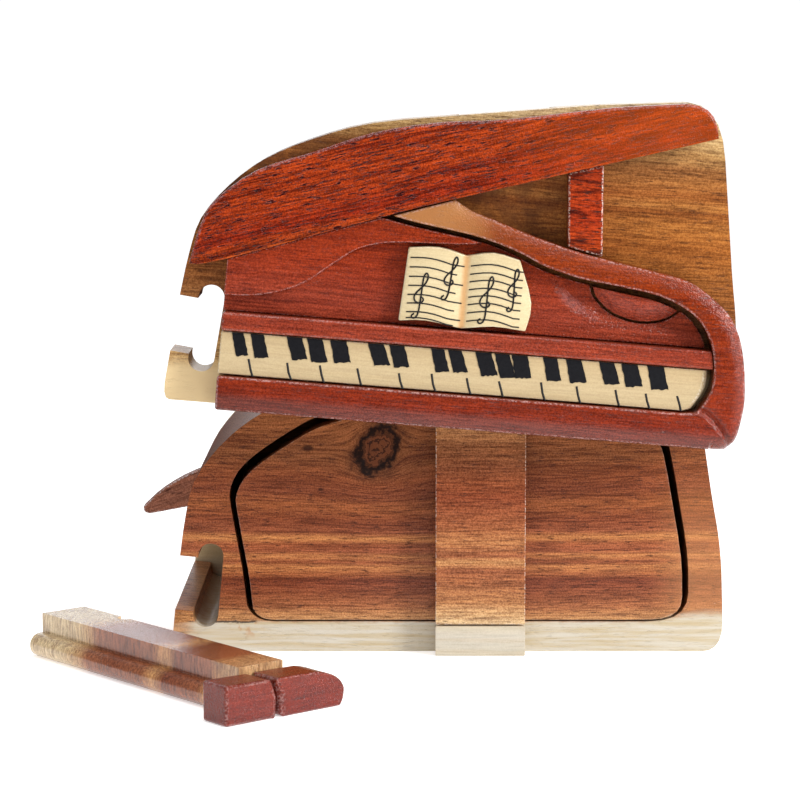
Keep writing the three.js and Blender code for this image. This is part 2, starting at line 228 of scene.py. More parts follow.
# %% Distance from a drawn line
def far_from(points, spacing=0.25):
    samples = []
    for (ax, az), (bx, bz) in zip(points, points[1:]):
        count = max(int(math.hypot(bx - ax, bz - az) / spacing), 1)
        for i in range(count + 1):
            samples.append((ax + (bx - ax) * i / count, az + (bz - az) * i / count,
                            bx - ax, bz - az))
    tree = KDTree(len(samples))
    for i, (x, z, _, _) in enumerate(samples):
        tree.insert((x, 0, z), i)
    tree.balance()

    def measure(x, z):
        _, i, distance = tree.find((x, 0, z))
        sx, sz, dx, dz = samples[i]
        left = dx * (z - sz) - dz * (x - sx) > 0
        return distance if left else -distance
    return measure


# %% [markdown]
# ## Showing a finished piece
#
# The copy takes the place of its plain piece, moves with the same body, and
# wears the finish it is given. Weighted normals keep wide faces flat to the
# eye and let the eased edges roll.

# %% Handing over a piece
def link(bm, name, material):
    mesh = bpy.data.meshes.new(name)
    bm.normal_update()
    bm.to_mesh(mesh)
    bm.free()
    mesh.materials.append(material)
    piece = bpy.data.objects.new(name, mesh)
    bpy.context.scene.collection.objects.link(piece)
    return piece


def show(bm, name, body, material, stands_for=None, turn=level, crease=32):
    bmesh.ops.transform(bm, matrix=turn, verts=bm.verts)
    piece = link(bm, name, material)
    piece.data.shade_smooth()
    piece.data.set_sharp_from_angle(angle=math.radians(crease))
    even = piece.modifiers.new("even shading", "WEIGHTED_NORMAL")
    even.keep_sharp = True
    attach(piece, body)
    if stands_for:
        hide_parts(stands_for)
    print(f"{name}: {len(piece.data.polygons)} faces")
    return piece


# %% [markdown]
# ## A sheet for node finishes
#
# Every finish is a small diagram of nodes. Writing each link by hand takes
# many lines, so one helper keeps the diagram and adds to it in single calls.
# Some nodes hide spare sockets, so theirs are called by number: the Mix node's
# colours are 6 and 7, and its mixed colour comes out of 2.

# %% The helper for node finishes
def tone(red, green, blue, light=0.84):
    """A colour as it looks, 0 to 255, as the light that a surface returns."""
    linear = [((c / 255 + 0.055) / 1.055) ** 2.4 * light for c in (red, green, blue)]
    return (*linear, 1.0)


class Finish:
    def __init__(self, name):
        self.material = bpy.data.materials.new(name)
        self.material.use_nodes = True
        self.tree = self.material.node_tree
        self.tree.nodes.clear()

    def node(self, kind, inputs=None, **settings):
        made = self.tree.nodes.new("ShaderNode" + kind)
        for name, value in settings.items():
            setattr(made, name, value)
        for key, value in (inputs or {}).items():
            if isinstance(value, bpy.types.NodeSocket):
                self.tree.links.new(value, made.inputs[key])
            else:
                made.inputs[key].default_value = value
        return made

    def sum(self, operation, a, b=0.0, c=0.0, clamp=False):
        made = self.node("Math", {0: a, 1: b, 2: c}, operation=operation, use_clamp=clamp)
        return made.outputs[0]

    def mix(self, factor, a, b, blend="MIX"):
        made = self.node(
            "Mix", {0: factor, 6: a, 7: b}, data_type="RGBA", blend_type=blend)
        return made.outputs[2]

    def noise(self, vector, scale, detail=2.0, roughness=0.5):
        made = self.node("TexNoise", {
            "Vector": vector, "Scale": scale, "Detail": detail, "Roughness": roughness})
        return made.outputs["Fac"]

    def stretch(self, x, y, z):
        return self.node("CombineXYZ", {0: x, 1: y, 2: z}).outputs[0]

    def between(self, value, low, high):
        """0 below low, 1 above high, and smooth between them."""
        made = self.node(
            "MapRange", {0: value, 1: low, 2: high, 3: 0.0, 4: 1.0},
            interpolation_type="SMOOTHSTEP")
        return made.outputs[0]

    def ramp(self, value, stops):
        made = self.node("ValToRGB", {0: value})
        band = made.color_ramp
        for i, (place, colour) in enumerate(stops):
            if i < 2:
                stop = band.elements[i]
                stop.position = place
            else:
                stop = band.elements.new(place)
            stop.color = colour
        return made.outputs[0]


# %% [markdown]
# ## Lacquered wood: where the grain lies
#
# A pattern has to follow the grain of its board, and the boards lie every way.
# The finish reads the piece's own coordinates, turns them to three axes, along
# the grain, through the board and across the grain, and counts in millimetres.

# %% The axes of a board
def laid_out(finish, grain, across, origin, turn):
    grain, across = Vector(grain).normalized(), Vector(across).normalized()
    axes = Matrix((grain, across.cross(grain), across)).to_4x4()
    place = axes @ Matrix.Translation(-Vector(origin)) @ turn
    return finish.node("Mapping", {
        "Vector": finish.node("TexCoord").outputs["Object"],
        "Location": place.translation * 1000,
        "Rotation": place.to_euler(),
        "Scale": (1000, 1000, 1000)}).outputs[0]


# %% [markdown]
# ## Growth bands
#
# Wood is bands that run along the grain. A colour ramp across the grain lays
# them in the order of the real board, and slow noise makes them wander. A knot
# bends them by a rule of its own.

# %% Bands across the grain
def growth(finish, parts, bands, wander, bend):
    x, y, z = parts
    slow = finish.noise(finish.stretch(finish.sum("MULTIPLY", x, 0.3), y, z), 0.035, 2.0)
    height = finish.sum("MULTIPLY_ADD", finish.sum("SUBTRACT", slow, 0.5), 2 * wander, z)
    if bend:
        height = bend(finish, x, y, z, height)
    low, high = bands[0][0], bands[-1][0]
    share = finish.sum("DIVIDE", finish.sum("SUBTRACT", height, low), high - low)
    colour = finish.ramp(
        share, [((at - low) / (high - low), tone(*shade)) for at, shade in bands])
    return colour, height


# %% [markdown]
# ## Streaks and pores
#
# Inside the bands lie broad dark streaks, thin pale and dark lines, and pores,
# which are short dark dashes. All of them are noise that is stretched along
# the grain. A little even grit stands for the sanded fibres.

# %% Figure inside the bands
def figure(finish, spot, parts, height, colour, length, streak, streak_tone, fine, pores,
           pore_tone, grit):
    x, y, _ = parts
    fibres = finish.stretch(finish.sum("MULTIPLY", x, length), y, height)
    broad = finish.noise(fibres, 0.42, 3.0, 0.6)
    thin = finish.noise(fibres, 1.9, 3.0, 0.65)
    dashes = finish.noise(
        finish.stretch(finish.sum("MULTIPLY", x, 0.30), y, finish.sum("MULTIPLY", height, 2.4)),
        1.1, 1.0)
    speck = finish.noise(spot, 2.3, 3.0, 0.8)
    dark = finish.sum("MULTIPLY", finish.between(broad, 0.47, 0.68), streak)
    colour = finish.mix(dark, colour, tone(*streak_tone))
    pale = finish.sum("MULTIPLY", finish.between(thin, 0.35, 0.75), fine)
    colour = finish.mix(pale, colour, (1.0, 0.93, 0.82, 1.0), "SOFT_LIGHT")
    deep = finish.sum("MULTIPLY", finish.between(thin, 0.60, 0.30), fine)
    colour = finish.mix(deep, colour, (0.30, 0.20, 0.15, 1.0), "MULTIPLY")
    hole = finish.sum(
        "MULTIPLY", finish.between(dashes, 0.70 - 0.12 * pores, 0.77 - 0.10 * pores), pores)
    colour = finish.mix(hole, colour, tone(*pore_tone))
    black, white = (0, 0, 0, 1), (1, 1, 1, 1)
    colour = finish.mix(
        grit, colour, finish.ramp(speck, [(0.38, black), (0.62, white)]), "SOFT_LIGHT")
    return colour, thin, hole


# %% [markdown]
# ## The lacquer
#
# Lacquer is a clear coat over the wood. It dried with a fine orange peel, which
# breaks every highlight into specks, and it sinks a little into the pores. The
# coat does the shining, so the wood under it hardly shines. How glossy it is
# can't be linked to a pattern, so each wood gives one number for it.

# %% A clear coat with orange peel
def lacquer(finish, spot, colour, thin, hole, peel, rough, gloss):
    ripple = finish.noise(spot, 2.1, 2.0, 0.7)
    skin = finish.sum("MULTIPLY_ADD", ripple, peel, finish.sum("MULTIPLY", thin, 0.25))
    skin = finish.sum("SUBTRACT", skin, finish.sum("MULTIPLY", hole, 0.5))
    bump = finish.node("Bump", {"Strength": 0.9, "Distance": 0.00022, "Height": skin})
    shader = finish.node("BsdfPrincipled", {
        "Base Color": colour,
        "Roughness": finish.sum("MULTIPLY_ADD", ripple, 0.16, rough - 0.08),
        "Specular IOR Level": 0.06,
        "Coat Weight": gloss, "Coat Roughness": 0.08, "Coat IOR": 1.5,
        "Normal": bump.outputs[0], "Coat Normal": bump.outputs[0]})
    finish.node("OutputMaterial", {0: shader.outputs[0]})


# %% [markdown]
# ## One recipe for every wood
#
# The parts come together here. Between the figure and the lacquer come the
# marks that only one piece has, and the pale edges: along the eased edges the
# colour is painted pale in patches, partly as chipped lacquer and partly as a
# painted highlight, wherever the bevel wrote it down.

# %% The wood finish
def wood(name, bands, grain=(1, 0, 0), across=(0, 0, 1), origin=(0, 0, 0), turn=level,
         wander=3.0, streak=0.45, streak_tone=(96, 44, 26), fine=0.25, pores=0.5,
         pore_tone=(60, 28, 18), grit=0.10, peel=0.35, rough=0.32, wear_and_sheen=0.35,
         wear_and_sheen_tone=(226, 205, 190), marks=None, bend=None, length=0.05, gloss=0.3):
    finish = Finish(name)
    spot = laid_out(finish, grain, across, origin, turn)
    parts = finish.node("SeparateXYZ", {0: spot}).outputs
    colour, height = growth(finish, parts, bands, wander, bend)
    colour, thin, hole = figure(
        finish, spot, parts, height, colour, length, streak, streak_tone, fine, pores,
        pore_tone, grit)
    if marks:
        colour = marks(finish, *parts, colour)
    # Pale edges: partly chipped lacquer, partly a painted highlight.
    edge = finish.node("Attribute", attribute_name="wear_and_sheen").outputs["Fac"]
    chip_and_sheen_patches = finish.between(finish.noise(spot, 1.7, 3.0, 0.7), 0.46, 0.60)
    chipped_and_sheen = finish.sum("MULTIPLY", finish.sum("MULTIPLY", edge, chip_and_sheen_patches), wear_and_sheen)
    colour = finish.mix(chipped_and_sheen, colour, tone(*wear_and_sheen_tone))
    lacquer(finish, spot, colour, thin, hole, peel, rough, gloss)
    return finish.material


# %% [markdown]
# ## The block: a knot in the drawer
#
# The drawer has a dark knot. The grain parts round a knot like water round a
# stone, so the bands there are bent by the rule for flow round a cylinder. The
# knot is a ragged black ring with a cracked brown heart, longer than it is
# wide, and it leans to the right.

# %% The knot
knot_x, knot_z, knot_radius = -19.3, 56.8, 6.0
ragged = 7.0


def from_knot(finish, x, z):
    return finish.sum("SUBTRACT", x, knot_x), finish.sum("SUBTRACT", z, knot_z)


def round_knot(finish, x, y, z, height):
    dx, dz = from_knot(finish, x, z)
    squared = finish.sum(
        "ADD", finish.sum("MULTIPLY", dx, dx), finish.sum("MULTIPLY", dz, dz))
    close = finish.sum(
        "DIVIDE", knot_radius ** 2, finish.sum("MAXIMUM", squared, knot_radius ** 2))
    return finish.sum("SUBTRACT", height, finish.sum("MULTIPLY", dz, close))


def knot_mark(finish, x, z, rough_edge, colour):
    # The knot is an oval, so the two directions across it are weighted apart.
    dx, dz = from_knot(finish, x, z)
    up_heart = finish.sum("MULTIPLY_ADD", dz, 0.60, finish.sum("MULTIPLY", dx, 0.42))
    over_heart = finish.sum("MULTIPLY_ADD", dz, 0.62, finish.sum("MULTIPLY", dx, -0.88))
    radius = finish.sum("SQRT", finish.sum(
        "ADD", finish.sum("MULTIPLY", up_heart, up_heart),
        finish.sum("MULTIPLY", over_heart, over_heart)))
    radius = finish.sum(
        "MULTIPLY_ADD", finish.sum("SUBTRACT", rough_edge, 0.5), ragged, radius)
    heart = finish.between(radius, 4.2, 3.2)
    rings = finish.sum("SINE", finish.sum("MULTIPLY", radius, 4.0))
    for share, weight, shade in (
            (finish.between(radius, 9.5, 4.8), 0.6, (62, 34, 22)),
            (finish.sum("MULTIPLY", finish.between(radius, 3.2, 4.6),
                        finish.between(radius, 6.6, 5.0)), 0.95, (26, 16, 14)),
            (heart, 0.7, (112, 62, 38)),
            (finish.sum("MULTIPLY", heart, finish.between(rings, 0.2, 0.8)), 0.8,
             (38, 22, 16))):
        colour = finish.mix(finish.sum("MULTIPLY", share, weight), colour, tone(*shade))
    return colour


# %% [markdown]
# Two pin knots lie to the left of the big one. Each is a small dark dot, drawn
# out along the grain.

# %% Pin knots
pin_knots = ((-38.5, 57.0, 1.3), (-35.0, 45.5, 0.6))
pin_stretch = 0.6


def pin_marks(finish, x, z, colour):
    for pin_x, pin_z, size in pin_knots:
        away = finish.node("VectorMath", {
            0: finish.stretch(finish.sum("MULTIPLY", x, pin_stretch), 0.0, z),
            1: (pin_x * pin_stretch, 0, pin_z)}, operation="DISTANCE").outputs["Value"]
        colour = finish.mix(
            finish.sum("MULTIPLY", finish.between(away, size, size * 0.4), 0.85),
            colour, tone(52, 28, 20))
    return colour


# %% [markdown]
# ## The block: its sapwood foot
#
# The foot of the block is cream sapwood. Its border climbs and softens at the
# right, where the heartwood turns paler, and it is stained by the slot at the
# left. A dark line, with a brown smear under it, shows where the saw went in.

# %% The foot
sapwood_top = 8.3


def foot_mark(finish, x, y, z, rough_edge, colour):
    climb = finish.sum("MULTIPLY", finish.between(x, 52.0, 72.0), 2.2)
    border = finish.sum("ADD", climb, sapwood_top)
    wobble = finish.noise(finish.stretch(finish.sum("MULTIPLY", x, 0.3), y, z), 0.9, 3.0, 0.7)
    height = finish.sum("MULTIPLY_ADD", finish.sum("SUBTRACT", wobble, 0.5), 1.6, z)
    inside = finish.sum("DIVIDE", finish.sum("SUBTRACT", border, height),
                        finish.sum("MULTIPLY_ADD", climb, 0.5, 0.6))
    sap = finish.between(inside, -1.1, 0.9)
    stain_left = finish.between(finish.sum("MULTIPLY_ADD", wobble, 8.0, x), -64.0, -71.0)
    sap = finish.sum("SUBTRACT", sap, finish.sum("MULTIPLY", stain_left, 0.8), clamp=True)
    soft = finish.noise(finish.stretch(finish.sum("MULTIPLY", x, 0.05), y, z), 0.8, 3.0, 0.6)
    cream = finish.mix(
        finish.between(soft, 0.30, 0.70), tone(210, 203, 188), tone(196, 178, 144))
    smear = finish.sum("MULTIPLY", finish.between(rough_edge, 0.48, 0.62), finish.sum(
        "MULTIPLY", finish.between(x, -61.0, -58.0), finish.between(x, -50.0, -54.0)))
    smear = finish.sum("MULTIPLY", smear, finish.between(z, 3.0, 6.0))
    cream = finish.mix(finish.sum("MULTIPLY", smear, 0.6), cream, tone(190, 138, 88))
    pale = finish.sum("MULTIPLY", finish.between(x, 54.0, 68.0), finish.between(z, 60.0, 20.0))
    colour = finish.mix(finish.sum("MULTIPLY", pale, 0.35), colour, tone(206, 146, 96))
    colour = finish.mix(sap, colour, cream)
    entry = finish.sum("ABSOLUTE", finish.sum("SUBTRACT", height, sapwood_top))
    entry = finish.sum("MULTIPLY", finish.between(entry, 0.45, 0.15), finish.sum(
        "MULTIPLY", finish.between(x, -65.0, -64.0), finish.between(x, -52.5, -53.5)))
    return finish.mix(finish.sum("MULTIPLY", entry, 0.85), colour, tone(44, 26, 20))


# %% [markdown]
# ## The block: ring and drawer
#
# The drawer was sawn out of the middle of the ring, so one pattern runs through
# both and carries on across the saw cut. The block is red-brown heartwood with
# paler stripes. The stripes are listed by their height above the table.

# %% The block's wood
def block_marks(finish, x, y, z, colour):
    rough_edge = finish.noise(finish.stretch(x, y, z), 0.35, 3.0, 0.6)
    colour = knot_mark(finish, x, z, rough_edge, colour)
    colour = pin_marks(finish, x, z, colour)
    return foot_mark(finish, x, y, z, rough_edge, colour)


block_bands = [
    (0, (176, 122, 78)), (10, (186, 132, 86)), (13, (160, 98, 62)), (16, (142, 80, 50)),
    (19, (130, 68, 44)), (21, (112, 56, 36)), (22.5, (156, 90, 54)), (24.6, (182, 116, 70)),
    (26, (140, 76, 48)), (27.6, (190, 122, 74)), (29, (146, 80, 52)), (31, (158, 88, 54)),
    (32.6, (188, 122, 72)), (34.5, (142, 78, 50)), (38, (126, 66, 40)), (42, (148, 84, 48)),
    (46, (124, 66, 42)), (50, (136, 74, 44)), (55, (128, 76, 46)), (62, (140, 84, 50)),
    (74, (160, 100, 60)), (90, (172, 116, 70)),
]
block_wood = wood(
    "block_wood", block_bands, wander=1.5, streak=0.45, streak_tone=(92, 44, 26),
    fine=0.6, pores=0.75, pore_tone=(62, 28, 18), grit=0.5, bend=round_knot,
    marks=block_marks)
print("the block's wood has", len(block_bands), "growth bands")

# %% [markdown]
# ## The other woods
#
# Each is the same recipe with its own bands. The rail is a paler strip that
# fades to cream at its foot.

# %% The rail's wood
rail_wood = wood(
    "rail_wood", [
        (8, (224, 196, 152)), (11.5, (206, 162, 114)), (15, (178, 120, 76)),
        (20, (164, 100, 62)), (24, (158, 92, 58)), (26.4, (196, 138, 88)),
        (28, (160, 94, 60)), (32, (180, 118, 74)), (36, (154, 90, 56)), (41, (146, 80, 50)),
        (45, (134, 68, 42)), (48, (142, 76, 46)), (53, (132, 76, 48)), (58, (146, 92, 58)),
        (64, (166, 116, 76)), (80, (176, 128, 86))],
    wander=1.5, streak=0.4, streak_tone=(104, 54, 32), fine=0.55, pores=0.6, grit=0.5,
    peel=0.2, wear_and_sheen=0.9)
print("the rail's wood is ready")

# %% [markdown]
# The back board and the bottom stub are sapwood, pale and almost plain.

# %% Sapwood
sapwood = wood(
    "sapwood", [
        (0, (199, 191, 173)), (6, (202, 195, 180)), (14, (210, 188, 146)), (30, (206, 178, 130)),
        (60, (206, 176, 126)), (90, (216, 190, 142))],
    wander=3, streak=0.16, streak_tone=(208, 176, 128), fine=0.12, pores=0.10,
    pore_tone=(186, 144, 96), grit=0.10, peel=0.2)
print("the sapwood is ready")

# %% [markdown]
# The tongue behind the box is a mauve-brown offcut, whose grain climbs with it.
# The drawer's inside is a plain light brown, hardly lacquered.

# %% Tongue and tub
tongue_wood = wood(
    "tongue_wood", [
        (25, (176, 126, 106)), (32, (156, 104, 84)), (38, (166, 114, 92)), (44, (146, 92, 72))],
    grain=(1, 0, 0.36), across=(-0.36, 0, 1), wander=2.5, streak=0.5,
    streak_tone=(78, 46, 38), fine=0.4, pores=0.6, grit=0.4, wear_and_sheen=0.9,
    wear_and_sheen_tone=(214, 204, 204))
tub_wood = wood(
    "tub_wood", [
        (0, (196, 150, 104)), (20, (184, 134, 88)), (45, (190, 142, 94)), (90, (180, 130, 84))],
    wander=4, streak=0.3, streak_tone=(140, 92, 58), fine=0.3, pores=0.4, peel=0.1, rough=0.5)
print("the woods of the tongue and the tub are ready")

# %% [markdown]
# ## The cover's woods
#
# All of them are laid out on the lowered cover, so their grain turns with it
# when it is raised. The cover board is golden, and cream along its top and at
# its left-hand foot. On the left, under the lid, it is darker: partly darker
# wood and partly a painted shadow of the lid.

# %% The board's wood
def board_marks(finish, x, y, z, colour):
    spot = finish.stretch(x, y, z)
    cloud = finish.noise(spot, 0.10, 3.0, 0.6)
    # Painted shadow of the lid, mottled by the cloud, on the left under the lid.
    shade = finish.sum("MULTIPLY", finish.between(x, 34.0, 12.0), finish.between(z, 40.0, 52.0))
    shade = finish.sum("MULTIPLY", shade, finish.between(z, 76.0, 66.0))
    shade = finish.sum("MULTIPLY", shade, finish.between(cloud, 0.25, 0.6))
    colour = finish.mix(finish.sum("MULTIPLY", shade, 0.75), colour, tone(88, 54, 36))
    foot = finish.sum("MULTIPLY_ADD", cloud, 6.0, finish.sum("MULTIPLY", x, 0.05))
    foot = finish.between(finish.sum("SUBTRACT", foot, z), -12.0, -7.0)
    return finish.mix(foot, colour, tone(232, 204, 156))


board_wood = wood(
    "board_wood", [
        (0, (212, 180, 128)), (12, (198, 156, 102)), (24, (158, 107, 64)), (33, (144, 88, 46)),
        (42, (158, 97, 46)), (50, (153, 90, 40)), (56, (164, 102, 48)), (59.5, (131, 74, 34)),
        (61, (169, 109, 55)), (64, (148, 86, 41)), (67, (160, 102, 53)), (71, (140, 92, 52)),
        (75, (178, 138, 86)), (79, (202, 168, 116)), (84, (222, 194, 146)), (89, (226, 202, 156))],
    turn=lowered, wander=2.6, streak=0.35, streak_tone=(112, 62, 28), fine=0.5,
    pores=0.6, pore_tone=(84, 48, 24), grit=0.45, peel=0.25, marks=board_marks)
print("the board's wood is ready")


# %% [markdown]
# The lid is a vivid red wood with short dark pores. Its grain follows its lower
# edge, which climbs to the right, and a painted pool of light turns it orange
# towards that end.

# %% The lid's wood
def lid_painted_light(finish, x, y, z, colour):
    # A painted pool of light makes the right-hand end of the lid orange.
    painted_light = finish.sum("MULTIPLY", finish.between(x, 15.0, 80.0), 0.35)
    return finish.mix(painted_light, colour, tone(190, 84, 22))


lid_climb = math.radians(17.9)
lid_wood = wood(
    "lid_wood", [
        (20, (132, 33, 8)), (33, (144, 45, 11)), (36, (121, 29, 8)), (39, (157, 60, 17)),
        (43, (120, 28, 11)), (47, (151, 52, 14)), (51, (128, 34, 11)), (55, (160, 65, 20)),
        (59, (128, 34, 11)), (66, (148, 50, 14))],
    grain=(math.cos(lid_climb), 0, math.sin(lid_climb)),
    across=(-math.sin(lid_climb), 0, math.cos(lid_climb)),
    turn=lowered, wander=2.6, streak=0.75, streak_tone=(84, 14, 4), fine=0.8, pores=1.0,
    pore_tone=(56, 8, 4), grit=0.6, peel=1.1, rough=0.2, wear_and_sheen=0.3,
    wear_and_sheen_tone=(206, 160, 160), length=0.06, gloss=0.6, marks=lid_painted_light)
print("the lid's wood is ready")

# %% [markdown]
# The rest of the piano is a quieter red-brown. The prop is a sliver of the same
# wood as the lid, cut across, so its dark streaks lie level.

# %% Relief and prop
relief_wood = wood(
    "relief_wood", [
        (-4, (117, 41, 28)), (2, (122, 41, 22)), (6, (137, 43, 16)), (9, (133, 43, 18)),
        (22, (146, 57, 36)), (30, (142, 56, 36)), (40, (147, 50, 22)), (50, (139, 45, 16)),
        (60, (150, 59, 22))],
    turn=lowered, wander=2.0, streak=0.4, streak_tone=(96, 26, 12), fine=0.45, pores=0.5,
    pore_tone=(78, 20, 12), grit=0.45, peel=1.1, rough=0.22, wear_and_sheen=0.35,
    wear_and_sheen_tone=(220, 178, 170), gloss=0.65)
prop_wood = wood(
    "prop_wood", [
        (40, (158, 50, 20)), (48, (172, 62, 20)), (56, (146, 44, 16)), (64, (162, 54, 18)),
        (75, (150, 46, 18))],
    turn=lowered, wander=1.0, streak=0.9, streak_tone=(52, 12, 8), fine=0.8, pores=0.9,
    grit=0.4, peel=0.7, length=0.16, wear_and_sheen=0.9, gloss=0.6)
print("the woods of the relief and the prop are ready")


# %% [markdown]
# The rim's left-hand end, by the lid, is coloured golden. The key bed is
# painted a duller mauve where it rolls under, as a painted reflection of the table.

# %% The rim's own marks
def rim_marks(finish, x, y, z, colour):
    spot = finish.stretch(x, y, z)
    cloud = finish.noise(spot, 0.12, 3.0, 0.6)
    gold = finish.sum("MULTIPLY", finish.between(
        finish.sum("MULTIPLY_ADD", cloud, 14.0, x), 34.0, 2.0), finish.between(z, 44.0, 50.0))
    pale = finish.between(finish.sum("MULTIPLY_ADD", cloud, 10.0, x), 18.0, 2.0)
    gilt = finish.mix(pale, tone(138, 70, 32), tone(174, 118, 70))
    return finish.mix(finish.sum("MULTIPLY", gold, 0.9), colour, gilt)


rim_wood = wood(
    "rim_wood", [
        # The mauve at the foot of these bands is a painted reflection of the table.
        (-4, (105, 41, 32)), (1, (112, 43, 28)), (3, (125, 39, 17)), (7, (129, 41, 15)),
        (30, (129, 43, 11)), (42, (129, 46, 13)), (60, (142, 61, 23))],
    turn=lowered, wander=1.2, streak=0.45, streak_tone=(98, 28, 12), fine=0.45, pores=0.55,
    pore_tone=(76, 20, 12), grit=0.45, peel=1.0, rough=0.2, wear_and_sheen=0.45,
    wear_and_sheen_tone=(226, 190, 184), marks=rim_marks, gloss=0.65)
print("the rim's wood is ready")

# %% [markdown]
# ## Box pieces
#
# These are sawn boards. Their shape is right in the frame already, so they only
# need their edges eased: hardly at all on the ring, whose saw cuts are crisp,
# and well rounded on the tongue.

# %% Ring, back, stubs and tongue
def boards(body, rows):
    for node, name, radius, segments, look, slot in rows:
        board = whole(node)
        ease(board, radius, segments)
        show(board, name, body, look, node)


boards("box", [
    ("box_ring", "sawn_ring", 0.35, 2, block_wood, "ring_brown"),
    ("back_panel", "back_board", 0.5, 2, sapwood, "sapwood"),
    ("rail_top_stub", "top_stub", 0.3, 2, rail_wood, "rail_gold"),
    ("rail_bottom_stub", "bottom_stub", 0.3, 2, sapwood, "rail_cream"),
    ("rear_tongue", "back_tongue", 1.3, 3, tongue_wood, "tongue_brown"),
])

# %% [markdown]
# ## The drawer
#
# The drawer is a front, a back and a tub between them. The middle length of the
# rail is glued to its front, and its long edges are painted pale, partly as wear
# and partly as a painted highlight.

# %% Drawer
boards("drawer", [
    ("drawer_front", "drawer_face", 0.35, 2, block_wood, "drawer_brown"),
    ("drawer_back", "drawer_rear", 0.35, 2, tub_wood, "tray_brown"),
    ("drawer_tray", "drawer_tub", 0.3, 2, tub_wood, "tray_brown"),
    ("drawer_rail", "dovetail_rail", 0.4, 3, rail_wood, "rail_gold"),
])

# %% [markdown]
# ## The cover board
#
# The board is worked lowered, like every piece of the cover, and handed over
# raised.

# %% Cover board
slab = whole("cover_slab", lowered)
ease(slab, 0.8, 3)
show(slab, "cover_board", "cover", board_wood, "cover_slab", raised)

# %% [markdown]
# ## The lid and its prop
#
# The lid's upper edge is rolled over generously, and its other edges barely.
# Two bevels do that: the first one takes only the front edges that lie well
# above the lid's straight lower edge.

# %% Lid and prop
lid = whole("piano_lid", lowered)
front_edge = on_front(lid)
lid_tip_x, lid_tip_z, lid_slope = -71.5, 36.4, 0.322
above_lower_edge = 2.0


def lid_top(edge):
    x, _, z = middle(edge)
    lower_edge = lid_tip_z + (x - lid_tip_x) * lid_slope
    return front_edge(edge) and z > lower_edge + above_lower_edge


ease(lid, 3.4, 6, lid_top)
ease(lid, 0.6, 2)
show(lid, "lid", "cover", lid_wood, "piano_lid", raised)

prop = whole("lid_prop", lowered)
ease(prop, 0.6, 3)
show(prop, "prop", "cover", prop_wood, "lid_prop", raised)

# %% [markdown]
# ## The rim
#
# One carved piece makes the piano's side, its cheek and the key bed. The
# outside edge is rolled, the key bed turns under towards the table, and a
# curved groove parts the cheek from the bed. The groove follows a drawn line.

# %% Rim
rim = whole("piano_rim", lowered)
ease(rim, 0.7, 3)
net(rim, 1.6)
net(rim, 0.5, (64, 0, -3), (80, 0, 10))
outer = far_from([
    (-61.9, -2.2), (73, -2.2), (75.6, -1.4), (77.2, 1.2), (77.8, 5), (78.4, 12), (77, 23),
    (74.2, 31), (69.9, 36.2), (62.3, 41.4), (55.4, 43.3), (41.5, 45.6), (30.8, 47.6),
    (18.4, 50.8), (8, 54.2), (1.7, 56.2), (-4.2, 59.6)])
groove = far_from([
    (67.2, 8.2), (68.8, 7.4), (71.4, 5.2), (73.8, 2.4), (75.4, -0.4), (75.8, -2)])
roll_top, roll_height, roll_depth = 3.0, 5.2, 2.4
edge_width, edge_depth = 3.6, 1.3
groove_width, groove_depth = 1.2, 1.3
bed_top, bed_end = 9, 70


def rim_depth(x, z):
    depth = 0.0
    if z < roll_top:
        depth += roll_depth * ((roll_top - z) / roll_height) ** 2
    if z > bed_top or x > bed_end:
        depth += edge_depth * max(1 - abs(outer(x, z)) / edge_width, 0) ** 2
    depth += groove_depth * max(1 - abs(groove(x, z)) / groove_width, 0)
    return depth


press(rim, rim_depth)
show(rim, "rim", "cover", rim_wood, "piano_rim", raised, crease=50)

# %% [markdown]
# ## The fallboard
#
# The strip above the keys meets the cheek at its right-hand end. That end stays
# square, so that no gap opens there.

# %% Fallboard
fall = whole("fallboard", lowered)
swell(fall, 0.12)
ease(fall, 0.8, 3, lambda edge: middle(edge).x < 62)
show(fall, "fall", "cover", relief_wood, "fallboard", raised)

# %% [markdown]
# ## The desk
#
# Behind the music the piano is carved in two levels. The raised panel swells
# softly to an S-shaped edge, which a wide bevel gives.

# %% Raised panel
raised_desk = whole("desk_panel_upper", lowered)
swell(raised_desk, 0.17)
ease(raised_desk, 1.1, 4)
show(raised_desk, "desk_raised", "cover", relief_wood, "desk_panel_upper",
     raised)

# %% [markdown]
# The sunk panel holds a leaf at its right. A shallow bowl is scooped round the
# leaf, with a clear lip on the left and below. Only the panel's left-hand part
# is grown, so that the leaf keeps a dark gap round it.

# %% Sunk panel
sunk_desk = whole("desk_panel_lower", lowered)
swell(sunk_desk, 0.17, lambda co: co.x < 16 * MM)
ease(sunk_desk, 0.4, 2)
net(sunk_desk, 1.2)
lip = far_from([
    (22.6, 44), (23.7, 41.3), (25.2, 37.7), (27.6, 34.1), (31.6, 31), (38.1, 28.6),
    (46.1, 28.2), (56.7, 27.9), (66, 27.2)])
bowl_depth, bowl_slope, bowl_start = 1.5, 3.0, 20


def bowl(x, z):
    return bowl_depth * rise(lip(x, z) / bowl_slope) if x > bowl_start else 0.0


press(sunk_desk, bowl)
show(sunk_desk, "desk_sunk", "cover", relief_wood, "desk_panel_lower", raised,
     crease=50)

# %% [markdown]
# The leaf is domed. It falls away from its middle to its lower edge.

# %% Leaf
leaf = whole("desk_leaf", lowered)
swell(leaf, -0.3)
ease(leaf, 0.5, 2)
net(leaf, 1.0)
leaf_edge = far_from([(35.2, 42), (36, 36.6), (41, 32), (48.7, 30), (56, 31.4), (61.5, 36)])
dome_fall, dome_width = 3.4, 6.5
press(leaf, lambda x, z: dome_fall * max(1 - abs(leaf_edge(x, z)) / dome_width, 0) ** 2)
show(leaf, "leaf", "cover", relief_wood, "desk_leaf", raised, crease=50)

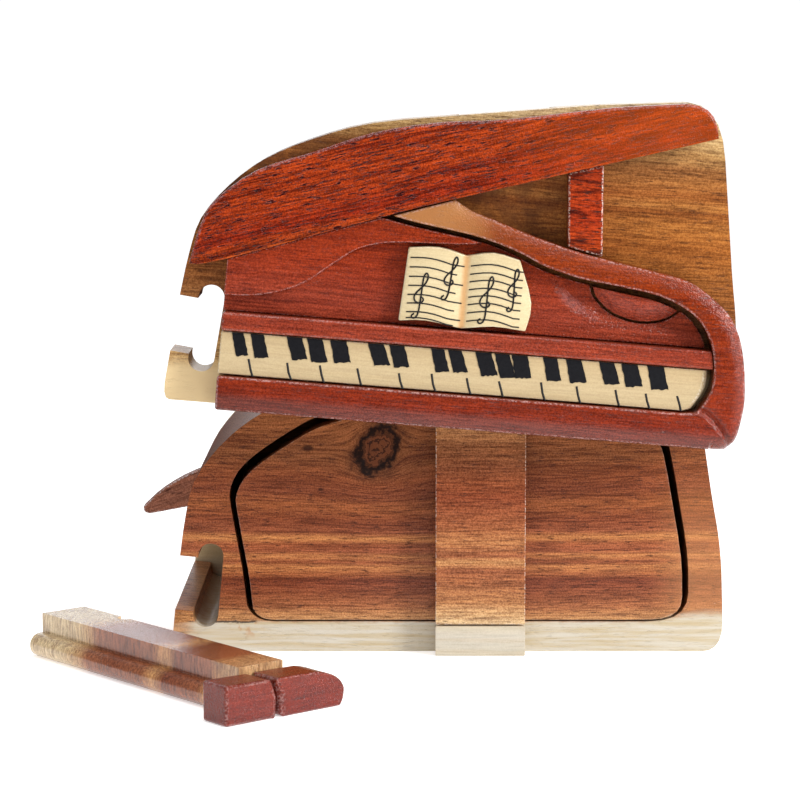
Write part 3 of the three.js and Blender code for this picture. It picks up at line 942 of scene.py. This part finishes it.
# %% [markdown]
# ## Pale woods for the key board and the book
#
# Both are one pale, plain wood under the same lacquer. The book is browner in
# its fold, a painted shade in the crease.

# %% Pale woods
fold_x = 1.6


def fold_shade(finish, x, y, z, colour):
    # Painted shade in the book's fold.
    fold = finish.between(finish.sum("ABSOLUTE", finish.sum("SUBTRACT", x, fold_x)), 1.5, 0.1)
    return finish.mix(finish.sum("MULTIPLY", fold, 0.75), colour, tone(206, 150, 92))


ivory_look = dict(
    turn=lowered, wander=3.0, streak=0.14, streak_tone=(196, 166, 120), fine=0.10, pores=0.06,
    pore_tone=(186, 150, 106), grit=0.10, peel=0.25, rough=0.3, wear_and_sheen=0.5,
    wear_and_sheen_tone=(250, 244, 226))
key_board_wood = wood("key_board_wood", [
    (6, (200, 178, 139)), (12, (201, 179, 140)), (20, (196, 171, 130))], **ivory_look)
page_wood = wood("page_wood", [
    (24, (216, 196, 154)), (35, (220, 201, 160)), (46, (214, 194, 152))],
    marks=fold_shade, **ivory_look)

# %% [markdown]
# ## The key board
#
# The key board is flat, and rounded over at its right-hand end. How far forward
# its front lies is kept, because the painted keys lie on it.

# %% Key board
keyboard = whole("keyboard", lowered)
front_edge = on_front(keyboard)
ease(keyboard, 1.6, 4, lambda edge: front_edge(edge) and middle(edge).x > 64)
ease(keyboard, 0.4, 2)
key_front = front_of(keyboard) / MM
show(keyboard, "key_board", "cover", key_board_wood, "keyboard", raised)

# %% [markdown]
# ## The music book
#
# The open book has two pages that swell from the fold and fall away to their
# outer edges. The rule for the page's depth is kept, because the ink has to lie
# on it.

# %% Book
fold_width, fold_depth = 6.0, 1.5
fall_start, fall_width, fall_depth = 9.0, 8.0, 1.3


def page_depth(x, z):
    across = abs(x - fold_x)
    into_fold = fold_depth * max(1 - across / fold_width, 0) ** 2
    return into_fold + fall_depth * max((across - fall_start) / fall_width, 0) ** 2


book = whole("music_book", lowered)
ease(book, 0.4, 2)
net(book, 1.0)
book_front = front_of(book) / MM
press(book, page_depth)
show(book, "open_book", "cover", page_wood, "music_book", raised, crease=50)

# %% [markdown]
# ## Paint and ink
#
# Both are black and dried in small lumps, so the colour, the roughness and a
# low bump follow one noise.

# %% Paint and ink
def paint(name, shade, rough, shine):
    finish = Finish(name)
    spot = finish.node("Mapping", {
        "Vector": finish.node("TexCoord").outputs["Object"],
        "Scale": (1000, 1000, 1000)}).outputs[0]
    lumps = finish.noise(spot, 1.6, 3.0, 0.7)
    colour = finish.ramp(lumps, [(0.3, tone(*shade)), (0.75, tone(*[c + 10 for c in shade]))])
    bump = finish.node("Bump", {"Strength": 0.6, "Distance": 0.0001, "Height": lumps})
    shader = finish.node("BsdfPrincipled", {
        "Base Color": colour,
        "Roughness": finish.sum("MULTIPLY_ADD", lumps, 0.2, rough),
        "Specular IOR Level": shine, "Normal": bump.outputs[0]})
    finish.node("OutputMaterial", {0: shader.outputs[0]})
    return finish.material


black_paint = paint("black_paint", (16, 16, 21), 0.42, 0.22)
ink = paint("ink", (20, 18, 18), 0.4, 0.3)

# %% [markdown]
# ## The black keys
#
# The black keys are thick strokes of paint that lean with the brush. Each is a
# strip between two places on the key board, and its sides and foot are shaken a
# little, as a hand would. The points are taken in the order in which they were
# made, since a plain set comes in a new order each run and would shake them
# differently. The whole set is then given a skin's thickness.

# %% Black keys
hand = random.Random(7)
paint_skin, sunk = 0.14, 0.1
key_places = [
    (-58.9, -55.9), (-54.0, -50.5), (-44.4, -40.2), (-39.0, -34.9), (-32.8, -28.4),
    (-22.7, -18.6), (-17.1, -13.0), (-6.0, -2.4), (-1.4, 2.2), (5.9, 10.2), (11.0, 15.0),
    (15.6, 19.8), (23.9, 27.7), (30.0, 34.1), (38.9, 42.9), (44.8, 49.2), (51.7, 56.2),
]
key_top, key_foot, key_lean = 18.9, 12.8, 1.9
keys = bmesh.new()
for left, right in key_places:
    foot = key_foot + hand.uniform(-0.4, 0.4)
    lean = key_lean + hand.uniform(-0.4, 0.2)
    flare = hand.uniform(-0.1, 0.3)
    corners = [(left, key_top), (right, key_top), (right + lean + flare, foot + 0.5),
               (left + lean, foot)]
    verts = [keys.verts.new((x * MM, (key_front + sunk) * MM, z * MM)) for x, z in corners]
    stroke = keys.faces.new(verts)
    cuts = bmesh.ops.subdivide_edges(
        keys, edges=list(stroke.edges), cuts=6, use_grid_fill=True)["geom_split"]
    for vert in dict.fromkeys(item for item in cuts if isinstance(item, bmesh.types.BMVert)):
        vert.co.x += hand.uniform(-0.13, 0.13) * MM
        if vert.co.z < (foot + 1) * MM:
            vert.co.z += hand.uniform(-0.22, 0.22) * MM
flat = list(keys.faces)
thick = bmesh.ops.extrude_face_region(keys, geom=flat)
for item in thick["geom"]:
    if isinstance(item, bmesh.types.BMVert):
        item.co.y -= (paint_skin + sunk) * MM
bmesh.ops.recalc_face_normals(keys, faces=keys.faces)
show(keys, "black_keys", "cover", black_paint, turn=raised)


# %% [markdown]
# ## Drawing with ink
#
# Key lines, staves and clefs are ink. Flat strips would twist on the swelling
# pages. A curve with a round section, half sunk in the wood, lies well anywhere
# and has soft edges. It is made mesh, and its doubled points are merged.

# %% A pen
def pen(name, lines, width, depth_at, material):
    curve = bpy.data.curves.new(name + "_line", "CURVE")
    curve.dimensions = "3D"
    curve.bevel_depth = width / 2 * MM
    curve.bevel_resolution = 1
    curve.use_fill_caps = True
    for points, smooth in lines:
        spline = curve.splines.new("NURBS" if smooth else "POLY")
        spline.points.add(len(points) - 1)
        for point, (x, z) in zip(spline.points, points):
            point.co = (x * MM, depth_at(x, z) * MM, z * MM, 1)
        if smooth:
            spline.order_u = 3
            spline.use_endpoint_u = True
            spline.resolution_u = 4
    drawn = bpy.data.objects.new(name + "_line", curve)
    bpy.context.scene.collection.objects.link(drawn)
    bpy.context.view_layer.update()
    mesh = bpy.data.meshes.new_from_object(
        drawn.evaluated_get(bpy.context.evaluated_depsgraph_get()))
    bpy.data.objects.remove(drawn)
    bm = bmesh.new()
    bm.from_mesh(mesh)
    bmesh.ops.remove_doubles(bm, verts=bm.verts, dist=0.001 * MM)
    bpy.data.meshes.remove(mesh)
    return show(bm, name, "cover", material, turn=raised)


# %% [markdown]
# Short lines part the white keys. They lean with the black ones, and no two are
# quite alike.

# %% Key lines
line_sunk, line_bend, line_foot = 0.12, 9.4, 7.5
line_tops = [-54.0, -43.7, -35.0, -25.0, -13.9, -5.2, 4.2, 12.8, 24.0, 33.5, 43.9, 52.0, 60.4]
lines = []
for top in line_tops:
    rise_to = 11.7 + hand.uniform(-0.4, 0.5)
    shake = hand.uniform(-0.15, 0.15)
    lines.append((
        [(top, rise_to), (top + 0.7 + shake, line_bend), (top + 1.4, line_foot)], False))
pen("key_lines", lines, 0.66, lambda x, z: key_front + line_sunk, ink)


# %% [markdown]
# ## The music
#
# Each page has eight lines that arch over the swell of the page. On the left
# page every second line stops short of the fold.

# %% Staves
def page_at(x, z):
    return book_front + page_depth(x, z)


left_page = dict(
    starts=[42.6, 40.1, 37.6, 35.2, 32.8, 30.5, 28.2, 26.6],
    left=-13.3, width=14.4, arch=0.7, arch_ends=1.3, drop=1.3, some_short=True)
right_page = dict(
    starts=[41.6, 39.4, 37.4, 35.3, 33.3, 31.3, 29.1, 26.9],
    left=2.8, width=14.0, arch=1.1, arch_ends=1.15, drop=0.5, some_short=False)
staves = []
for page in (left_page, right_page):
    for i, start in enumerate(page["starts"]):
        row = []
        for step in range(9):
            t = step / 8
            arched = page["arch"] * math.sin(math.pi * min(t * page["arch_ends"], 1))
            row.append((page["left"] + page["width"] * t, start + arched - page["drop"] * t))
        staves.append((row[:-1] if page["some_short"] and i % 2 else row, False))
pen("staves", staves, 0.40, page_at, ink)

# %% [markdown]
# A treble clef is one stroke: it starts in the middle, winds once round the
# stave's line, climbs to a narrow loop at the top, and falls straight through
# to a hook below. One drawn stroke serves for all four clefs, stretched and
# leant to suit each.

# %% Clefs
clef = [
    (0.15, 0.42), (0.9, 0.2), (1.0, -0.6), (0.2, -1.1), (-0.9, -0.8), (-1.4, 0.3), (-0.9, 1.5),
    (0.1, 2.6), (0.9, 3.9), (1.1, 5.2), (0.6, 6.2), (0.1, 5.6), (0.0, 4.2), (0.2, 1.6),
    (0.35, -1.4), (0.4, -3.4), (0.0, -4.6), (-0.9, -4.7), (-1.1, -3.9), (-0.5, -3.6),
]
clef_places = [
    (-10.1, 32.0, 1.14, 0.12), (-2.6, 37.2, 1.08, 0.14), (7.4, 32.2, 1.18, 0.08),
    (14.4, 35.4, 1.06, 0.03),
]
strokes = []
for cx, cz, size, slant in clef_places:
    strokes.append((
        [(cx + (x + z * slant) * size, cz + z * size) for x, z in clef], True))
pen("clefs", strokes, 0.50, page_at, ink)

# %% [markdown]
# ## The key's woods
#
# The key bar was cut across the grain, so fine lines run up its sides, and it
# goes from cream at both ends to brown in the middle. Its carved head is dark
# red. The key lies turned on the table, and the patterns are turned with it.

# %% Key woods
turned = math.radians(40.5)
key_along = Vector((-math.sin(turned), math.cos(turned), 0))
key_end = min((vert.co @ key_along for vert in nodes["key_bar"].data.vertices)) / MM
key_wood = wood(
    "key_wood", [
        (0, (206, 160, 114)), (9, (198, 144, 98)), (13, (152, 88, 58)), (27, (128, 66, 44)),
        (32, (200, 144, 94)), (37, (150, 88, 58)), (50, (132, 72, 48)), (62, (156, 94, 64)),
        (68, (206, 166, 120)), (74, (222, 194, 152)), (90, (226, 200, 160))],
    grain=(0, 0, 1), across=key_along, origin=key_along * key_end * MM, wander=3.5,
    streak=0.35, streak_tone=(112, 64, 42), fine=0.6, pores=0.4, grit=0.3, peel=0.25,
    rough=0.22, wear_and_sheen=0.5, length=0.12, gloss=0.9)
head_wood = wood(
    "head_wood", [
        (0, (112, 28, 12)), (12, (122, 36, 16)), (24, (106, 26, 12)), (40, (116, 32, 16))],
    grain=(math.cos(turned), math.sin(turned), 0), wander=3.0, streak=0.3,
    streak_tone=(66, 14, 8), fine=0.3, pores=0.3, grit=0.4, peel=1.6, rough=0.2,
    wear_and_sheen=0.3, wear_and_sheen_tone=(214, 176, 170), gloss=0.6)
print("the woods of the key are ready")

# %% [markdown]
# ## The key
#
# The bar has a T section that fits the slot. Its head is in two blocks that a
# curved groove parts. The short steps of the groove are joined into longer ones
# first, since a bevel can't be wider than the steps beside it. The edges by the
# groove are then rounded widely, and the others less.

# %% Key bar and head
bar = whole("key_bar")
ease(bar, 0.35, 2)
show(bar, "slot_key", "key", key_wood, "key_bar")
head_along = Vector((math.cos(turned), math.sin(turned), 0))
groove_reach = 5.5
for node, name, side in (
        ("key_head_lower", "head_lower", 1), ("key_head_upper", "head_upper", -1)):
    head = whole(node)
    groove_end = max(side * (vert.co @ head_along) for vert in head.verts) / MM

    def by_groove(edge):
        return side * (middle(edge) @ head_along) > groove_end - groove_reach

    near = [edge for edge in head.edges if by_groove(edge)]
    ends = dict.fromkeys(vert for edge in near for vert in edge.verts)
    bmesh.ops.dissolve_limit(
        head, angle_limit=math.radians(16), verts=list(ends), edges=near)
    ease(head, 2.0, 5, by_groove)
    ease(head, 0.9, 4, lambda edge: not by_groove(edge))
    show(head, name, "key", head_wood, node)

# %% [markdown]
# ## The table
#
# The box stands on a plain white table. A little light of its own keeps the
# table white to its far edge. Flat things like this one, and the cards below,
# get a plain finish with a faint speckle.

# %% Floor
def speckled(name, grain_scale, dark, light, shading):
    finish = Finish(name)
    speckle = finish.noise(finish.node("TexCoord").outputs["Object"], grain_scale)
    shader = finish.node("BsdfPrincipled", {
        "Base Color": finish.ramp(speckle, [(0.0, (*dark, 1)), (1.0, (*light, 1))]),
        **shading})
    finish.node("OutputMaterial", {0: shader.outputs[0]})
    return finish.material


table_white = speckled("table_white", 40.0, (0.95, 0.95, 0.95), (0.98, 0.98, 0.98), {
    "Roughness": 0.9, "Specular IOR Level": 0.1,
    "Emission Color": (1, 1, 1, 1), "Emission Strength": 0.46})
floor = bmesh.new()
bmesh.ops.create_grid(floor, x_segments=1, y_segments=1, size=4.0)
floor_piece = link(floor, "table", table_white)
print("the table is laid")

# %% [markdown]
# ## Cards for the lacquer to mirror
#
# Lacquer is a mirror, and a white room would fog it. Black cards stand behind
# the camera, in front of the box and on the table behind it. One white card
# stands far behind, and its shine lies on the key and on the upper edges. Only
# reflections see the cards.

# %% Cards
velvet = speckled("velvet_black", 60.0, (0.01, 0.01, 0.01), (0.02, 0.02, 0.02), {
    "Roughness": 1.0, "Specular IOR Level": 0.0})
glowing = speckled("card_white", 60.0, (0.90, 0.91, 0.94), (0.93, 0.94, 0.97), {
    "Roughness": 1.0, "Specular IOR Level": 0.0,
    "Emission Color": (0.86, 0.92, 1.0, 1), "Emission Strength": 0.55})
upright = Matrix.Rotation(math.radians(90), 4, "X")
for name, place, width, height, look in (
        ("card_standing", Matrix.Translation((0, -1.05, 0.12)) @ upright, 1.6, 0.45, velvet),
        ("card_lying", Matrix.Translation((0, -0.62, 0.001)), 1.6, 0.85, velvet),
        ("card_far", Matrix.Translation((0, 0.56, 0.001)), 2.4, 0.88, velvet),
        ("card_low", Matrix.Translation((0, 1.0, 0.08)) @ upright, 2.4, 0.16, velvet),
        ("card_behind", Matrix.Translation((0, 1.1, 0.46)) @ upright, 2.4, 0.56, glowing)):
    card = bmesh.new()
    bmesh.ops.create_grid(card, x_segments=1, y_segments=1, size=0.5)
    bmesh.ops.scale(card, vec=(width, height, 1), verts=card.verts)
    bmesh.ops.transform(card, matrix=place, verts=card.verts)
    card_piece = link(card, name, look)
    card_piece.visible_camera = False
    card_piece.visible_diffuse = False
    card_piece.visible_shadow = False
    print(f"{name}: {width} by {height} m")

# %% [markdown]
# ## The room
#
# The world is white behind the box, dimmer as the light that fills the shadows,
# and dimmer still in reflections. Two Map Range nodes choose between the three
# by the kind of ray. Their sockets 3 and 4 are the two ends of the range.

# %% World
world = bpy.data.worlds.new("studio")
bpy.context.scene.world = world
world.use_nodes = True
sky = world.node_tree.nodes["Background"]
sky.inputs["Color"].default_value = (1.0, 1.0, 1.0, 1.0)
rays = world.node_tree.nodes.new("ShaderNodeLightPath").outputs
filling, in_reflections, behind_box = 0.60, 0.20, 1.04
mirrored = world.node_tree.nodes.new("ShaderNodeMapRange")
mirrored.inputs[3].default_value = filling
mirrored.inputs[4].default_value = in_reflections
seen = world.node_tree.nodes.new("ShaderNodeMapRange")
seen.inputs[4].default_value = behind_box
world.node_tree.links.new(rays["Is Glossy Ray"], mirrored.inputs[0])
world.node_tree.links.new(mirrored.outputs[0], seen.inputs[3])
world.node_tree.links.new(rays["Is Camera Ray"], seen.inputs[0])
world.node_tree.links.new(seen.outputs[0], sky.inputs["Strength"])
print("the room is", filling, "bright, and", in_reflections, "in reflections")


# %% [markdown]
# ## The lights
#
# One soft light hangs overhead. A smaller, stronger one stands to the right and
# puts a soft shadow on the left of each raised piece.

# %% Lights
def softbox(name, place, target, width, height, power):
    lamp = bpy.data.lights.new(name, "AREA")
    lamp.shape = "RECTANGLE"
    lamp.size, lamp.size_y = width, height
    lamp.energy = power
    holder = bpy.data.objects.new(name, lamp)
    holder.location = place
    aim = Vector(target) - Vector(place)
    holder.rotation_euler = aim.to_track_quat("-Z", "Y").to_euler()
    bpy.context.scene.collection.objects.link(holder)
    print(f"{name} light: {power} W")


softbox("overhead", (0.05, -0.30, 0.95), (0, 0, 0.07), 0.7, 0.5, 4.0)
softbox("right", (0.90, -0.60, 0.50), (0, 0, 0.08), 0.26, 0.40, 12.0)

# %% [markdown]
# ## The camera
#
# The camera looks straight at the front with a long lens, from a little above.

# %% Camera
camera = bpy.data.cameras.new("camera")
camera.sensor_width = 36
camera.lens = 123.75
camera.clip_start = 0.01
viewer = bpy.data.objects.new("camera", camera)
viewer.location = (-0.0131, -0.790, 0.165)
viewer.rotation_euler = (math.radians(90 - 7.19), 0, 0)
bpy.context.scene.collection.objects.link(viewer)
bpy.context.scene.camera = viewer
bpy.context.scene.view_settings.view_transform = "Standard"
print("the lens is", round(camera.lens, 2), "mm")
